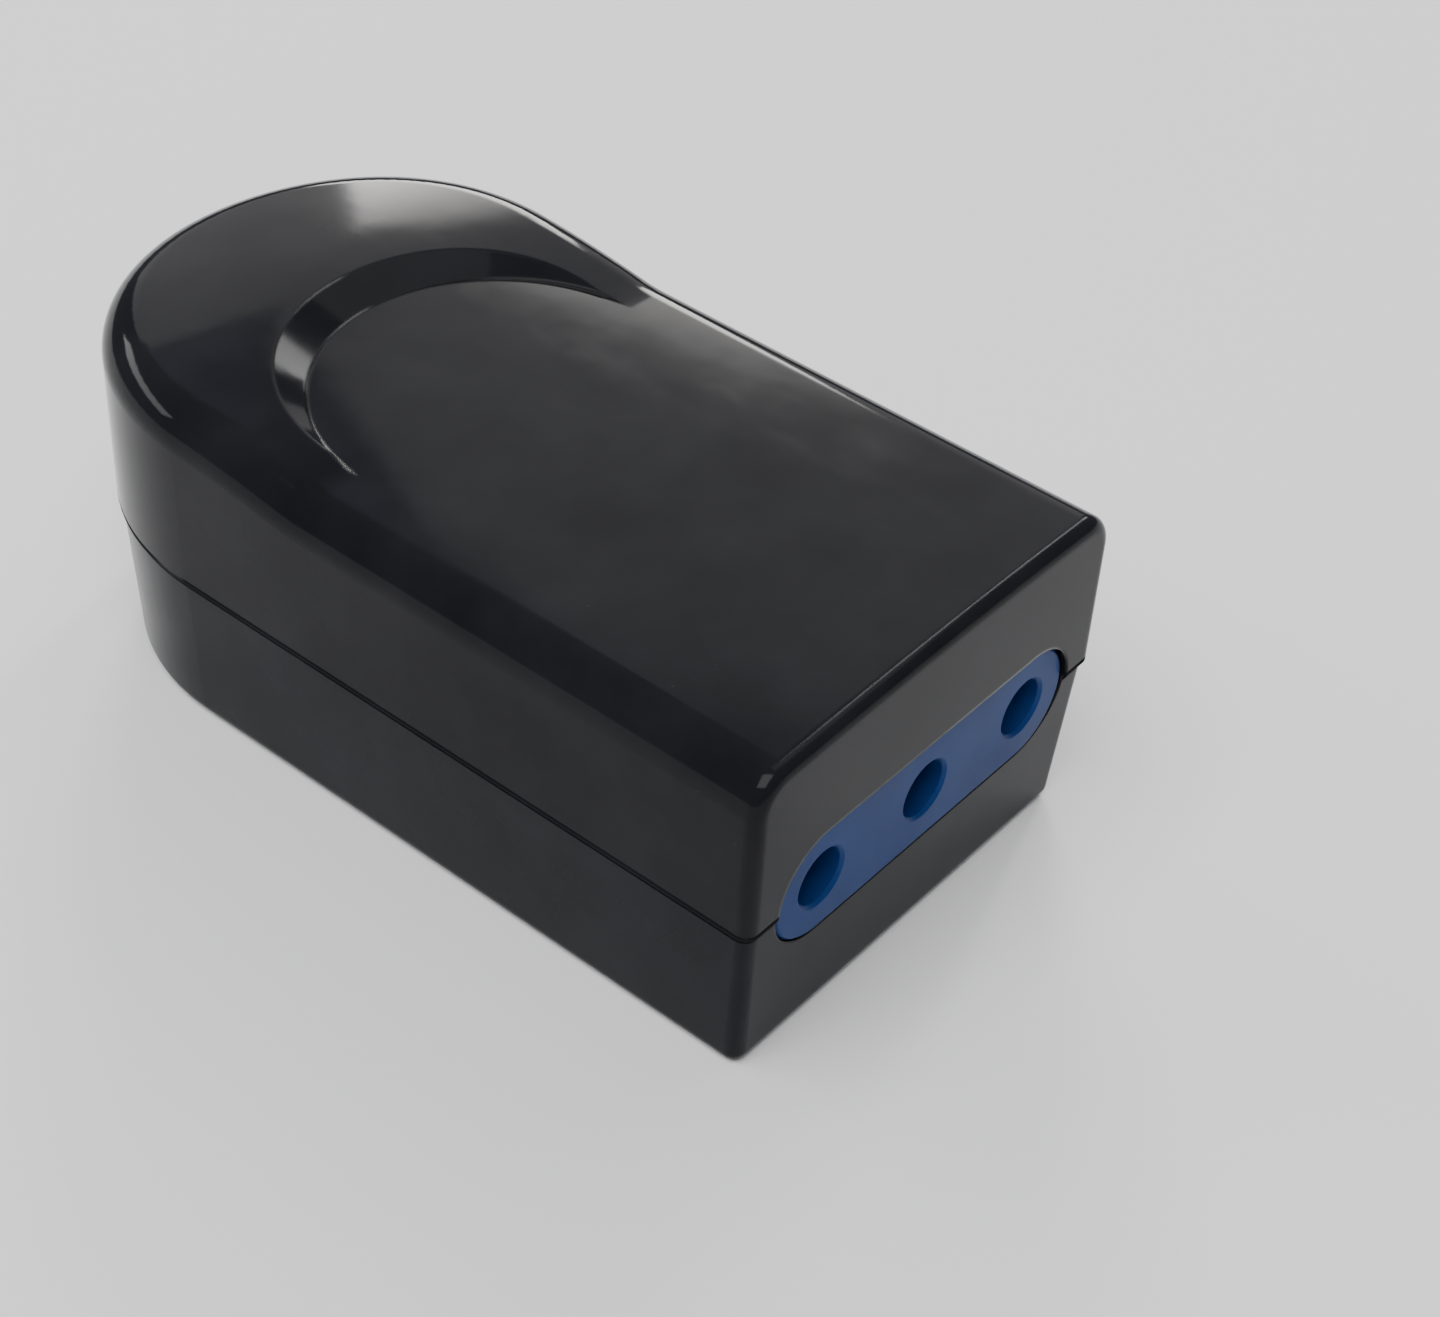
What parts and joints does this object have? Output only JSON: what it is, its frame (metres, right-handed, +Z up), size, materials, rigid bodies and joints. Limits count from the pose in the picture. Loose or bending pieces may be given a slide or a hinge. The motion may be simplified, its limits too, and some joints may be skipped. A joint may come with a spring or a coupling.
{
  "type": "in-line socket",
  "caption": "Portable in-line mains socket: black two-piece case with half-round rear and thumb step, blue insert with round pin holes in a row, cord inlet at the rear.",
  "frame": {"origin": "middle of the base of the bounding box", "axes": "+Z up from the flat base, +Y along the case from the pin face to the cord inlet, +X across the case"},
  "size_m": [0.0446, 0.083, 0.033],
  "materials": {
    "case_gloss": "glossy moulded black",
    "case_satin": "glossy moulded black",
    "insert": "satin moulded blue",
    "carrier": "matt moulded grey-black",
    "brass": "turned",
    "spring_steel": "blued spring steel",
    "screw_steel": "zinc plated"
  },
  "bodies": {
    "root": {"upper_shell": "case_gloss", "lower_shell": "case_satin", "pin_face": "insert", "contact_block": "carrier", "contact_retainer": "carrier", "contact_left": "brass", "contact_earth": "brass", "contact_right": "brass", "sleeve_spring_left": "spring_steel", "sleeve_spring_earth": "spring_steel", "sleeve_spring_right": "spring_steel", "terminal_screw_left": "screw_steel", "terminal_screw_earth": "screw_steel", "terminal_screw_right": "screw_steel", "cord_clamp": "carrier", "clamp_screw_left": "screw_steel", "clamp_screw_right": "screw_steel", "case_screw_left": "screw_steel", "case_screw_right": "screw_steel"}
  },
  "joints": []
}
